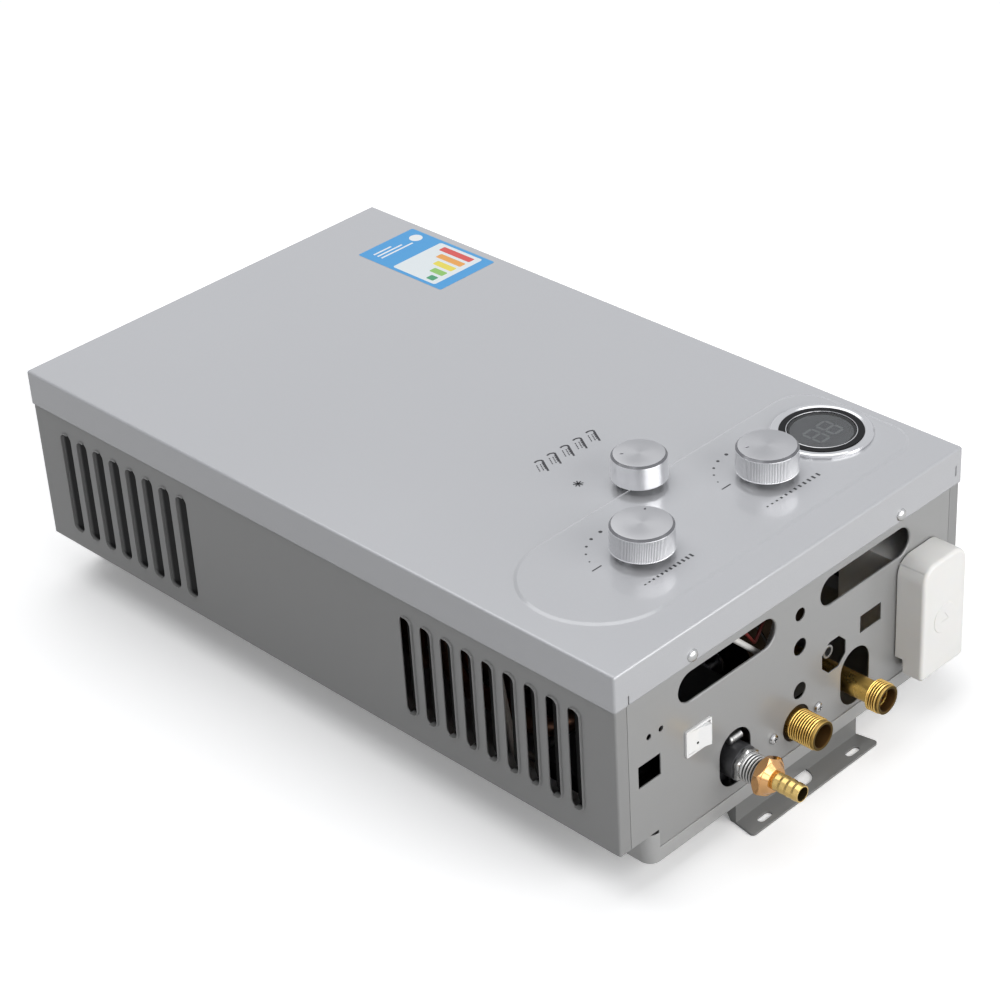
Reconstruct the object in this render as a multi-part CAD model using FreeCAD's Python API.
import FreeCAD, Part
import math
import os

# A wall-hung, battery-lit propane water heater, modelled lying on its back. Millimetres.
# +X is the right-hand side seen from the front, +Y runs from the end with the fittings to the flue end
# and +Z comes out of the front cover. z = 0 is the wall plane, which the two brackets touch.
# A size called a depth runs inward from the fitting end of the casing; a negative depth stands out of it.

V = FreeCAD.Vector

# ---- casing ------------------------------------------------------------------------------------------
case_w = 320.0                 # outside width of the front cover
case_l = 540.0                 # outside length of the front cover
cover_top = 166.0              # front face of the cover above the wall
lip_h = 25.0                   # how far the cover laps over the side and end panels
sheet = 0.8                    # sheet metal thickness
lap_gap = 0.2                  # gap between lapped sheets
fit_clear = 0.05               # screws in their holes and threads in their bosses
cover_corner_r = 1.7           # upright corners of the cover
cover_edge_r = 1.6             # rim of the cover's front face
skirt_z = 37.0                 # lower edge of the side panels
panel_top_gap = 6.0            # from the panels' upper edges to the cover's front face
panel_corner_r = 1.4           # outside bend where a side panel turns on to the end
wrap_w = 10.5                  # flange of a side panel that wraps on to the end
seam_gap = 0.3                 # seam between that flange and the end panel
hem_w = 9.0                    # width of the inward flanges of the panels
tray_z = 14.0                  # back of the chassis tray
tray_inset = 26.0              # from the side of the cover to the side of the tray
tray_corner_r = 8.0            # upright corners of the tray
tray_lip_h = 10.0              # upturned end flange of the tray
tray_flange_gap = 14.0         # from the side of the cover to the edge of the tray's side flange
tray_relief = 12.0             # length at each end where the tray's walls stop below the panels
tray_relief_gap = 1.7          # how far below the panels they stop there
lip_slits = [(-148.5, 139.0, 147.5), (153.6, 147.3, 154.8)]     # x, z, z of the slits in the end lip
lip_slit_w = 0.8

# ---- raised control panel of the cover ---------------------------------------------------------------
raise_h = 0.8
raise_slope = 2.0
raise_near = 24.0              # depth of its near edge
raise_far = 125.0              # depth of its far edge
raise_left = 18.5              # from the left side of the cover to its round end
raise_right = 7.0              # from the right side of the cover to its right end
raise_right_r = 25.0

# ---- knobs and their spindles ------------------------------------------------------------------------
knob_pitch = 57.0              # gas and water knobs, left and right of the middle
knob_depth = 71.5              # depth of the gas and water knobs
season_depth = 125.5           # depth of the season knob
knob_r = 19.7
season_knob_r = 17.6
knob_flare = 0.4               # a knob widens by this towards its foot
knob_h = 16.6
knob_lift = 5.1                # from the cover's front face to the foot of a knob
knob_chamfer = 1.8
knob_wall = 3.0
knob_hub_r = 6.5
knob_cap = 3.0                 # thickness of a knob's top
spindle_r = 3.0
spindle_clear = 0.08           # running clearance of a spindle in its gland
spindle_hole_r = 6.0           # hole in the cover
gland_r = 8.0
gland_drop = 44.0              # from the cover's front face down to the top of a gland
gland_depth = 24.0             # length of spindle held in its gland
gas_mark_deg = 35.0            # where each knob's pointer stands at rest, from +X
water_mark_deg = 142.5
season_mark_deg = 136.0
mark_len = 3.0                 # sunk pointer mark on a knob
mark_w = 1.4
mark_sink = 0.4
mark_inset = 5.5               # from the knob's edge to the middle of its mark

# ---- round display -----------------------------------------------------------------------------------
display_edge = 43.5            # from the right side of the cover to the middle of the display
display_depth = 77.0
bezel_r = 33.0
bezel_h = 2.7
ring_r = 27.0
lens_r = 22.1
lens_t = 2.0
lens_sink = 0.3                # lens below the ring
display_hole_r = 28.2
display_cup_r = 27.8
display_cup_wall = 2.0
display_body_r = 32.0
display_body_h = 18.0

# ---- holes in the fitting end ------------------------------------------------------------------------
end_shift = 1.8                # the slots and lip screws sit this far right of the middle
slot_in = 20.8                 # long air slots: inner end from their middle
slot_edge = 52.3               # outer end, to the side of the cover without that shift
slot_z = 123.9
slot_h = 20.8
slot_rim = 1.6                 # depth of the rim turned in round an air slot
slot_round = 0.6               # easing of that rim's outer edge
oval_w = 28.5                  # upright oval holes for the gas and hot water connections
gas_oval = (50.3, 40.5)        # z of the middle, height
hot_oval = (47.2, 41.6)
centre_x = 3.2
centre_holes = [(121.8, 4.5), (98.1, 5.85), (65.5, 5.85)]       # z, radius
right_cutout = (61.4, 82.0, 76.6, 89.4)                         # x, x, z, z
left_cutout_edge = 28.0        # from the middle of the left cut-out to the side of the cover
left_cutout_w = 18.9
left_cutout_h = 15.6
left_cutout_z = 84.2
small_holes_edge = [28.2, 38.5]
small_holes_z = 108.6
small_holes_r = 2.0
drain_x = 35.9
drain_z = 74.6
drain_flats = 23.0             # eight-sided hole, across flats
drain_near = 5.5               # mouth of the port behind the hole
drain_port_r = 4.6
drain_bore_r = 3.2
lip_screw_edge = 63.5          # to the side of the cover without the shift
lip_screw_z = 146.0

# ---- water and gas connections -----------------------------------------------------------------------
thread_r = 10.4775             # G1/2 male thread, over the crests
cold_z = 43.0
cold_reach = 20.0              # how far the cold inlet stands out
cold_bore_r = 7.6
cold_hole_r = 12.5
hot_x = 55.8
hot_z = 41.5
hot_reach = 26.0
hot_head_l = 10.5
hot_pipe_sink = 6.0            # end of the pipe inside the threaded head
hot_pipe_r = 7.5
hot_bore_r = 6.5
hot_run_out = 28.0             # from the side of the exchanger to the pipe beside it
gas_x = -56.2
gas_z = 48.1
gas_boss_r = 11.5              # round boss of the gas valve that comes out through its oval hole
gas_boss_reach = 5.0
gas_thread_r = 9.4             # male thread of the gas nipple, over the crests
nut_flats = 20.0
nut_l = 4.0
gas_thread_reach = 22.0
union_flats = 23.5
union_from = 20.5
union_hex_reach = 26.5         # end of its flats; a turned cone follows
union_reach = 30.0
union_end_r = 8.2
barb_r = 5.9
barb_bore_r = 4.6
barb_reach = 50.0
barb_root_r = 5.4
barb_count = 4
barb_land = 1.6                # straight crest of each barb
valve_screw_x = 21.3           # either side of their middle
valve_screw_shift = -0.9
valve_screw_z = 43.6

# ---- rocker switch -----------------------------------------------------------------------------------
switch_edge = 69.7             # from the side of the cover to the middle of the switch
switch_z = 84.8
switch_w = 22.4
switch_h = 18.5
switch_body_w = 20.4
switch_body_h = 16.7
switch_rim = 1.5
switch_wall = 0.7
switch_body_l = 20.0
rocker_half_w = 8.8
rocker_gap_z = 0.25
rocker_tilt = 11.0
rocker_pin_r = 1.0
lamp_shift = 0.8               # lamp hole beside and below the middle of the rocker
lamp_drop = 2.7

# ---- battery box -------------------------------------------------------------------------------------
battery_edge = 41.75           # from the side of the cover to the middle of the cells
battery_lift = 0.4             # from the tray's flange to the battery case
cell_r = 16.6
cell_l = 60.5
cell_gap = 0.2
battery_wall = 1.4
lid_side = 3.15                # lid beyond the case at each side
lid_below = 10.0               # lid beyond the case at the wall side
lid_above = 4.5                # lid beyond the case at the front
lid_reach = 21.0
lid_wall = 1.6
lid_corner_r = 12.0            # corners towards the front cover
lid_foot_r = 3.0               # corners towards the wall
lid_front_r = 2.5
lid_gap = 0.3
lid_mark_r = 10.5
lid_mark_h = 0.4               # raised round mark on the lid
lid_mark_drop = 5.5            # its middle below the middle of the cells
lid_notch_w = 7.5
lid_notch_h = 11.7
lid_notch_reach = 6.3

# ---- wall brackets -----------------------------------------------------------------------------------
bracket_half = 58.0
bracket_tip_half = 61.0        # the wall plate widens towards its free edge
bracket_t = 1.5
bracket_reach = 16.0
bracket_in = 30.0
bracket_cheek = 12.0
bracket_corner_r = 2.5
bracket_slot_pitch = 85.0
bracket_slot_reach = 9.7
bracket_slot_l = 11.5
bracket_slot_w = 5.0
bracket_notch_r = 10.0
bracket_notch_reach = 9.2

# ---- flue --------------------------------------------------------------------------------------------
collar_r = 50.0
collar_t = 1.0
collar_reach = 24.0
collar_flange_r = 60.0
collar_neck = 3.0              # step from the spigot down to the neck inside the casing
spigot_start = 2.0             # the spigot starts this far outside the casing

# ---- valves ------------------------------------------------------------------------------------------
valve_axis_depth = 62.0        # axis of the push rod
valve_axis_z = 62.0
gas_block_half = 23.0
gas_block_near = 12.0
gas_block_far = 92.0
gas_block_z0 = 26.0
gas_block_z1 = 86.0
tower_r = 12.0
gas_flange_x = -22.0
gas_flange_r = 15.0
water_disc_r = 30.0
water_disc_x0 = -2.0
water_disc_x1 = 14.0
water_cavity_r = 24.0
diaphragm_t = 2.0
water_cover_x1 = 28.0
regulator_x1 = 70.0
regulator_z0 = 56.0
regulator_z1 = 88.0
regulator_near = 44.0
regulator_far = 90.0
rod_r = 2.0
rod_clear = 0.08
rod_travel = 4.0
plate_r = 18.0
plate_t = 2.0
poppet_r = 8.0
poppet_t = 2.0
lever_depth = 84.0
lever_z0 = 65.4
lever_z1 = 70.4
lever_t = 0.6
collar_on_rod_r = 7.0
collar_on_rod_t = 2.0

# ---- burner, combustion chamber and heat exchanger ---------------------------------------------------
core_gap = 66.0                # from the side of the cover to the side of the heat exchanger
core_z0 = 42.0
core_z1 = 132.0
core_wall = 1.2
chamber_corner_r = 6.0
burner_near = 152.0
burner_far = 182.0
burner_bar_count = 10
burner_bar_w = 12.0
manifold_near = 128.0
manifold_far = 144.0
manifold_z0 = 62.0
manifold_z1 = 82.0
nozzle_r = 3.0
chamber_far = 320.0
exchanger_far = 376.0
fin_pitch = 4.5
fin_t = 0.5
tube_r = 6.5
tube_wall = 0.8
tube_count = 5
tube_side_gap = 0.3            # from the outermost tubes to the exchanger's shell
coil_clear = 0.3
coil_turns = 3
coil_near = 200.0
coil_bend_r = 18.0
hood_margin = 54.0             # from the hood's end plate to the flue end of the casing
hood_half = 54.0
join_gap = 0.2                 # between parts that stand end to end
stand_half = 60.0

# ---- worked out from the above -----------------------------------------------------------------------
half_w = case_w / 2
shift_y = (barb_reach - collar_reach) / 2
end_y = shift_y - case_l / 2           # fitting end of the casing
flue_y = shift_y + case_l / 2          # flue end of the casing
lip_z = cover_top - lip_h
panel_out = half_w - sheet - lap_gap   # outer face of a side panel
panel_top = cover_top - panel_top_gap
end_half = half_w - wrap_w - seam_gap  # half width of an end panel
tray_half = half_w - tray_inset
tray_floor = tray_z + sheet
face_depth = sheet + lap_gap           # outer face of an end panel
back_depth = face_depth + sheet        # its inner face
knob_z0 = cover_top + knob_lift
knob_z1 = knob_z0 + knob_h
spindle_top = knob_z1 - knob_cap
gland_z = cover_top - gland_drop
display_x = half_w - display_edge
raise_z = cover_top + raise_h
raise_under = raise_z - sheet
switch_x = switch_edge - half_w
battery_x = half_w - battery_edge
core_half = half_w - core_gap
tube_inset = core_wall + tube_side_gap + tube_r
tube_pitch = (core_z1 - core_z0 - 2 * tube_inset) / (tube_count - 1)
collar_z = (tray_z + cover_top) / 2
battery_near = -lid_reach + lid_wall + lid_gap + 1.0
cell_pitch = 2 * cell_r + cell_gap
case_half_w = cell_r + 0.6 + battery_wall
case_half_h = cell_pitch / 2 + cell_r + 0.3 + battery_wall
battery_z = skirt_z + 2 * sheet + battery_lift + case_half_h
lid_w = 2 * (case_half_w + lid_side)
lid_z0 = battery_z - case_half_h - lid_below
lid_z1 = battery_z + case_half_h + lid_above


# ---- helpers -----------------------------------------------------------------------------------------
def at(depth):
    """Y of a depth inward from the fitting end."""
    return end_y + depth


def box(x0, x1, y0, y1, z0, z1):
    return Part.makeBox(x1 - x0, y1 - y0, z1 - z0, V(x0, y0, z0))


def rod_x(y, z, r, x0, x1):
    return Part.makeCylinder(r, x1 - x0, V(x0, y, z), V(1, 0, 0))


def rod_y(x, z, r, y0, y1):
    return Part.makeCylinder(r, y1 - y0, V(x, y0, z), V(0, 1, 0))


def rod_z(x, y, r, z0, z1):
    return Part.makeCylinder(r, z1 - z0, V(x, y, z0), V(0, 0, 1))


def merged(*shapes):
    """One solid from shapes that touch or overlap."""
    whole = shapes[0].multiFuse(list(shapes[1:])).removeSplitter()
    return whole.Solids[0] if len(whole.Solids) == 1 else whole


def less(shape, *tools):
    """A shape with other shapes cut away."""
    result = shape.cut(list(tools))
    return result.Solids[0] if len(result.Solids) == 1 else result


def mirror_x(shape):
    return shape.mirror(V(0, 0, 0), V(1, 0, 0))


def mirror_ends(shape):
    """The same piece at the flue end."""
    return shape.mirror(V(0, shift_y, 0), V(0, 1, 0))


def edges_along(shape, axis):
    """Straight edges parallel to an axis."""
    found = []
    for edge in shape.Edges:
        a = edge.Vertexes[0].Point
        b = edge.Vertexes[-1].Point
        run = b - a
        if run.Length > 1e-6 and abs(abs(run.dot(axis)) - run.Length) < 1e-6:
            found.append(edge)
    return found


def edges_at_z(shape, z):
    return [e for e in shape.Edges if all(abs(v.Z - z) < 1e-6 for v in e.Vertexes)]


def edges_at_y(shape, y):
    return [e for e in shape.Edges if all(abs(v.Y - y) < 1e-6 for v in e.Vertexes)]


def rounded_y(x0, x1, z0, z1, r, y0, y1):
    """A block along Y whose four long edges are rounded."""
    block = box(x0, x1, y0, y1, z0, z1)
    return block.makeFillet(r, edges_along(block, V(0, 1, 0)))


def stadium_y(x0, x1, z0, z1, y0, y1):
    """A round-ended slot cutter along Y; it is long in X or in Z."""
    r = min(x1 - x0, z1 - z0) / 2
    if x1 - x0 > z1 - z0:
        z = (z0 + z1) / 2
        return merged(box(x0 + r, x1 - r, y0, y1, z0, z1), rod_y(x0 + r, z, r, y0, y1),
                      rod_y(x1 - r, z, r, y0, y1))
    x = (x0 + x1) / 2
    return merged(box(x0, x1, y0, y1, z0 + r, z1 - r), rod_y(x, z0 + r, r, y0, y1),
                  rod_y(x, z1 - r, r, y0, y1))


def stadium_outline(x0, x1, z0, z1, y):
    """Outline of a round-ended slot that is long in X."""
    r = (z1 - z0) / 2
    z = (z0 + z1) / 2
    edges = [Part.LineSegment(V(x0 + r, y, z0), V(x1 - r, y, z0)),
             Part.Arc(V(x1 - r, y, z0), V(x1, y, z), V(x1 - r, y, z1)),
             Part.LineSegment(V(x1 - r, y, z1), V(x0 + r, y, z1)),
             Part.Arc(V(x0 + r, y, z1), V(x0, y, z), V(x0 + r, y, z0))]
    return Part.Wire([edge.toShape() for edge in edges])


def stadium_x(y0, y1, z0, z1, x0, x1):
    """A round-ended upright slot cutter along X."""
    r = (y1 - y0) / 2
    y = (y0 + y1) / 2
    return merged(box(x0, x1, y0, y1, z0 + r, z1 - r), rod_x(y, z0 + r, r, x0, x1),
                  rod_x(y, z1 - r, r, x0, x1))


def many_sided(x, z, flats, sides, y0, y1):
    """A regular prism along Y, flats wide."""
    reach = flats / 2 / math.cos(math.pi / sides)
    turn = 2 * math.pi / sides
    corners = [V(x + reach * math.cos(turn * (i + 0.5)), y0, z + reach * math.sin(turn * (i + 0.5)))
               for i in range(sides)]
    return Part.Face(Part.makePolygon(corners + corners[:1])).extrude(V(0, y1 - y0, 0))


def hex_nut(x, z, flats, y0, y1, bore):
    """A chamfered hexagon nut along Y."""
    blank = many_sided(x, z, flats, 6, y0, y1)
    reach = flats / 2 / math.cos(math.pi / 6)
    chamfer = reach - flats / 2
    disc = rod_y(x, z, reach, y0, y1)
    disc = disc.makeChamfer(chamfer, [e for e in disc.Edges if len(e.Vertexes) == 1])
    return less(blank.common(disc), rod_y(x, z, bore, y0 - 1, y1 + 1))


def turned_z(x, y, profile):
    """A turned piece about a Z axis from (radius, z) points."""
    points = [V(x + r, y, z) for r, z in profile]
    return Part.Face(Part.makePolygon(points + points[:1])).revolve(V(x, y, 0), V(0, 0, 1), 360)


def turned_y(x, z, profile):
    """A turned piece about a Y axis from (radius, y) points."""
    points = [V(x + r, y, z) for r, y in profile]
    return Part.Face(Part.makePolygon(points + points[:1])).revolve(V(x, 0, z), V(0, 1, 0), 360)


def bent_path(points, bend):
    """Straight runs joined by tangent arcs of one radius."""
    edges = []
    last = points[0]
    for before, corner, after in zip(points, points[1:], points[2:]):
        back = (before - corner).normalize()
        on = (after - corner).normalize()
        half = back.getAngle(on) / 2
        trim = bend / math.tan(half)
        start = corner + back * trim
        finish = corner + on * trim
        middle = corner + (back + on).normalize() * (bend / math.sin(half) - bend)
        edges.append(Part.LineSegment(last, start).toShape())
        edges.append(Part.Arc(start, middle, finish).toShape())
        last = finish
    edges.append(Part.LineSegment(last, points[-1]).toShape())
    return Part.Wire(edges)


def bent_bar(points, bend, r):
    """A round bar along a bent path."""
    profile = Part.Wire([Part.makeCircle(r, points[0], points[1] - points[0])])
    return bent_path(points, bend).makePipeShell([profile], True, False)


def bent_tube(points, bend, r, wall):
    """A round tube along a bent path."""
    return less(bent_bar(points, bend, r), bent_bar(points, bend, r - wall))


def cross_recess(x, z, y0, y1, size):
    """A cross-head recess cutter along Y."""
    arm = size * 0.22
    return merged(box(x - size, x + size, y0, y1, z - arm, z + arm),
                  box(x - arm, x + arm, y0, y1, z - size, z + size))


def pan_screw_y(x, z, seat, way, head_r, head_h, shank_r, shank_l, recess):
    """A round-head screw along Y. It stands on seat, and way is +1 where its shank runs towards +Y."""
    profile = [(0, seat + way * shank_l), (shank_r, seat + way * shank_l), (shank_r, seat), (head_r, seat),
               (head_r, seat - way * head_h * 0.35), (head_r * 0.86, seat - way * head_h * 0.78),
               (head_r * 0.5, seat - way * head_h), (0, seat - way * head_h)]
    screw = turned_y(x, z, profile)
    if not recess:
        return screw
    tip = seat - way * (head_h + 1)
    floor = seat - way * head_h * 0.35
    return less(screw, cross_recess(x, z, min(tip, floor), max(tip, floor), head_r * 0.55))


def pan_screw_up(x, y, seat, head_r, head_h, shank_r, shank_l):
    """A round-head screw that points towards +Z from below its seat."""
    return turned_z(x, y, [(0, seat + shank_l), (shank_r, seat + shank_l), (shank_r, seat), (head_r, seat),
                           (head_r, seat - head_h * 0.4), (head_r * 0.6, seat - head_h),
                           (0, seat - head_h)])


# ---- casing ------------------------------------------------------------------------------------------
def rounded_case(half, y0, y1, z0, z1, corner_r, edge_r):
    """A block with round upright corners and a round rim at the top."""
    block = box(-half, half, y0, y1, z0, z1)
    block = block.makeFillet(corner_r, edges_along(block, V(0, 0, 1)))
    return block.makeFillet(edge_r, edges_at_z(block, z1))


def raise_outline(inset, z):
    """Outline of the raised control panel: round at the left, round-cornered at the right."""
    y0 = at(raise_near) + inset
    y1 = at(raise_far) - inset
    r = (y1 - y0) / 2
    mid_y = (y0 + y1) / 2
    left = raise_left - half_w + inset + r
    right = half_w - raise_right - inset
    c = raise_right_r - inset
    diagonal = c * (1 - math.sqrt(0.5))
    edges = [
        Part.LineSegment(V(left, y0, z), V(right - c, y0, z)),
        Part.Arc(V(right - c, y0, z), V(right - diagonal, y0 + diagonal, z), V(right, y0 + c, z)),
        Part.LineSegment(V(right, y0 + c, z), V(right, y1 - c, z)),
        Part.Arc(V(right, y1 - c, z), V(right - diagonal, y1 - diagonal, z), V(right - c, y1, z)),
        Part.LineSegment(V(right - c, y1, z), V(left, y1, z)),
        Part.Arc(V(left, y1, z), V(left - r, mid_y, z), V(left, y0, z)),
    ]
    return Part.Wire([e.toShape() for e in edges])


def knob_places():
    """Name, x, depth and knob radius of the three knobs."""
    return [("gas", -knob_pitch, knob_depth, knob_r), ("water", knob_pitch, knob_depth, knob_r),
            ("season", 0.0, season_depth, season_knob_r)]


def lip_screw_places():
    """x of the screws through the end lips of the cover."""
    return [end_shift - (half_w - lip_screw_edge), end_shift + half_w - lip_screw_edge]


def front_cover():
    outer = rounded_case(half_w, end_y, flue_y, lip_z, cover_top, cover_corner_r, cover_edge_r)
    inner = rounded_case(half_w - sheet, end_y + sheet, flue_y - sheet, lip_z - 1, cover_top - sheet,
                         cover_corner_r - sheet, cover_edge_r - sheet)
    step = Part.makeLoft([raise_outline(0, cover_top), raise_outline(raise_slope, raise_z)], True, True)
    under = Part.makeLoft([raise_outline(sheet, cover_top - sheet),
                           raise_outline(sheet + raise_slope, raise_under)], True, True)
    cover = less(merged(less(outer, inner), step), under)
    holes = [rod_z(x, at(depth), spindle_hole_r, cover_top - 5, raise_z + 1)
             for _, x, depth, _ in knob_places()]
    holes.append(rod_z(display_x, at(display_depth), display_hole_r, cover_top - 5, raise_z + 1))
    for x in lip_screw_places():
        holes.append(rod_y(x, lip_screw_z, lip_screw_shank_r + fit_clear, end_y - 1, end_y + 3))
        holes.append(rod_y(x, lip_screw_z, lip_screw_shank_r + fit_clear, flue_y - 3, flue_y + 1))
    for x, z0, z1 in lip_slits:
        holes.append(box(x - lip_slit_w / 2, x + lip_slit_w / 2, end_y - 1, end_y + sheet + 1, z0, z1))
    return less(cover, *holes)


lip_screw_shank_r = 2.0
lip_screw_head_r = 4.2
lip_screw_head_h = 2.6

# louvre groups: first depth, number, spacing, lower and upper end, and the side of the cut edge
louvre_end = 155.5             # from the flue end to the first louvre of the far group
louvre_w = 10.7
louvre_deep = 6.0
louvre_near = (33.3, 9, 17.4, 55.3, 129.0, 1)
louvre_far = (case_l - louvre_end, 8, 17.5, 49.5, 128.6, -1)


def louvre(depth, z0, z1, cut_side):
    """Cutter and pressed-in scoop of one louvre on the left panel. cut_side is +1 where the open edge is
    on the +Y side."""
    y0 = at(depth) - louvre_w / 2
    y1 = y0 + louvre_w
    outside = -panel_out
    inside = outside + sheet
    cutter = stadium_x(y0, y1, z0, z1, outside - 1, inside + louvre_deep)

    def scoop(offset, past):
        """Space between the panel and the curved wall, from the root to past the open edge."""
        root = y0 if cut_side > 0 else y1
        tip = (y1 + past) if cut_side > 0 else (y0 - past)
        deep = inside + louvre_deep - offset
        middle = V(inside - offset + louvre_deep * 0.72, (root + tip) / 2, 0)
        wall = Part.Arc(V(inside - offset, root, 0), middle, V(deep, tip, 0)).toShape()
        ends = [Part.LineSegment(V(deep, tip, 0), V(outside - 1, tip, 0)).toShape(),
                Part.LineSegment(V(outside - 1, tip, 0), V(outside - 1, root, 0)).toShape(),
                Part.LineSegment(V(outside - 1, root, 0), V(inside - offset, root, 0)).toShape()]
        return Part.Face(Part.Wire([wall] + ends)).extrude(V(0, 0, z1 - z0)).translate(V(0, 0, z0))

    solid = scoop(0, 0).common(cutter)
    shrunk = stadium_x(y0 + sheet, y1 - sheet, z0 + sheet, z1 - sheet, outside - 2,
                       inside + louvre_deep + 1)
    opening = box(outside - 2, inside + louvre_deep + 1, y1 - louvre_w / 2, y1 + 1, z0 + sheet, z1 - sheet)
    if cut_side < 0:
        opening = box(outside - 2, inside + louvre_deep + 1, y0 - 1, y0 + louvre_w / 2, z0 + sheet,
                      z1 - sheet)
    hollow = scoop(sheet, 1).common(shrunk.fuse(opening))
    return cutter, solid.cut(hollow)


def side_screw_depths():
    return [case_l * share for share in (0.12, 0.5, 0.88)]


chassis_screw_r = 2.0
chassis_screw_head_r = 3.8
chassis_screw_head_h = 2.2
chassis_screw_l = 8.0


def left_side_panel():
    y0 = at(face_depth)
    y1 = flue_y - face_depth
    flange_x = -half_w + wrap_w
    outside = box(-panel_out, panel_out, y0, y1, skirt_z, panel_top)
    outside = outside.makeFillet(panel_corner_r, edges_along(outside, V(0, 0, 1)))
    inside = box(-panel_out + sheet, panel_out - sheet, y0 + sheet, y1 - sheet, skirt_z - 1, panel_top + 1)
    inside = inside.makeFillet(panel_corner_r - sheet, edges_along(inside, V(0, 0, 1)))
    ring = less(outside, inside)
    pieces = [ring.common(box(-panel_out, flange_x, y0, y1, skirt_z, panel_top)).Solids[0]]
    for outer, step in ((y0, 1), (y1, -1)):
        near, far = sorted((outer, outer + step * hem_w))
        pieces.append(box(flange_x - sheet, flange_x, near, far, skirt_z + 2 * sheet + lap_gap, panel_top))
    pieces.append(box(-panel_out + sheet / 2, -tray_half - lap_gap, y0 + sheet + lap_gap,
                      y1 - sheet - lap_gap,
                      skirt_z, skirt_z + sheet))
    panel = merged(*pieces)
    cutters = []
    scoops = []
    for first, count, pitch, z0, z1, cut_side in (louvre_near, louvre_far):
        for i in range(count):
            cutter, scoop = louvre(first + i * pitch, z0, z1, cut_side)
            cutters.append(cutter)
            scoops.append(scoop)
    for depth in side_screw_depths():
        x = -(tray_half + half_w - tray_flange_gap) / 2
        cutters.append(rod_z(x, at(depth), chassis_screw_r + fit_clear, skirt_z - 1,
                             skirt_z + 2 * sheet + 1))
    return merged(less(panel, *cutters), *scoops)


def end_blank(slot_start):
    """End panel with its inward flanges, and the cutters of its screw holes and air slots."""
    y0 = at(face_depth)
    y1 = at(back_depth)
    low_half = tray_half - tray_corner_r - 0.5
    plate = box(-end_half, end_half, y0, y1, skirt_z, panel_top)
    foot = box(-low_half, low_half, y0, y1, tray_floor + 0.1, skirt_z)
    top = box(-end_half, end_half, y0, y0 + hem_w, panel_top - sheet, panel_top)
    side_z = skirt_z + 3 * sheet
    left = box(-end_half, -end_half + sheet, y0, y0 + hem_w, side_z, panel_top)
    right = box(end_half - sheet, end_half, y0, y0 + hem_w, side_z, panel_top)
    cutters = [rod_y(x, lip_screw_z, lip_screw_shank_r + fit_clear, y0 - 1, y1 + 1)
               for x in lip_screw_places()]
    z0 = slot_z - slot_h / 2
    z1 = slot_z + slot_h / 2
    rims = []
    for side in (-1, 1):
        x0, x1 = sorted((end_shift + side * slot_start, end_shift + side * (half_w - slot_edge)))
        rim = stadium_y(x0 - sheet, x1 + sheet, z0 - sheet, z1 + sheet, y0, y0 + slot_rim)
        rims.append(rim)
        through = stadium_y(x0, x1, z0, z1, y0 - 1, y0 + slot_rim + 1)
        flare = stadium_y(x0 - slot_round, x1 + slot_round, z0 - slot_round, z1 + slot_round, y0 - 1, y0)
        mouth = Part.makeLoft([stadium_outline(x0 - slot_round, x1 + slot_round, z0 - slot_round,
                                               z1 + slot_round, y0),
                               stadium_outline(x0, x1, z0, z1, y0 + slot_round)], True, True)
        cutters += [through, flare, mouth]
    return merged(plate, foot, top, left, right, *rims), cutters


def bottom_end_panel():
    blank, cutters = end_blank(slot_in)
    y0 = at(face_depth) - 1
    y1 = at(back_depth) + 1
    for x, (z, height) in ((-knob_pitch, gas_oval), (knob_pitch, hot_oval)):
        cutters.append(stadium_y(x - oval_w / 2, x + oval_w / 2, z - height / 2, z + height / 2, y0, y1))
    for z, r in centre_holes:
        cutters.append(rod_y(centre_x, z, r, y0, y1))
    x0, x1, z0, z1 = right_cutout
    cutters.append(box(x0, x1, y0, y1, z0, z1))
    x = left_cutout_edge - half_w
    cutters.append(box(x - left_cutout_w / 2, x + left_cutout_w / 2, y0, y1,
                       left_cutout_z - left_cutout_h / 2, left_cutout_z + left_cutout_h / 2))
    for edge in small_holes_edge:
        cutters.append(rod_y(edge - half_w, small_holes_z, small_holes_r, y0, y1))
    cutters.append(many_sided(drain_x, drain_z, drain_flats, 8, y0, y1))
    cutters.append(rod_y(0, cold_z, cold_hole_r, y0, y1))
    for x, z in valve_screw_places():
        cutters.append(rod_y(x, z, valve_screw_r + fit_clear, y0, y1))
    gap = 0.1
    cutters.append(box(switch_x - switch_body_w / 2 - gap, switch_x + switch_body_w / 2 + gap, y0, y1,
                       switch_z - switch_body_h / 2 - gap, switch_z + switch_body_h / 2 + gap))
    cx0, cx1, cz0, cz1 = case_section(battery_wall + gap)
    cutters.append(box(cx0, cx1, y0, y1, cz0, cz1))
    return less(blank, *cutters)


def top_end_panel():
    blank, cutters = end_blank(collar_flange_r + slot_in / 4)
    neck_r = collar_r - collar_neck
    cutters.append(rod_y(0, collar_z, neck_r + join_gap, at(face_depth) - 1, at(back_depth) + 1))
    return mirror_ends(less(blank, *cutters))


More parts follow.
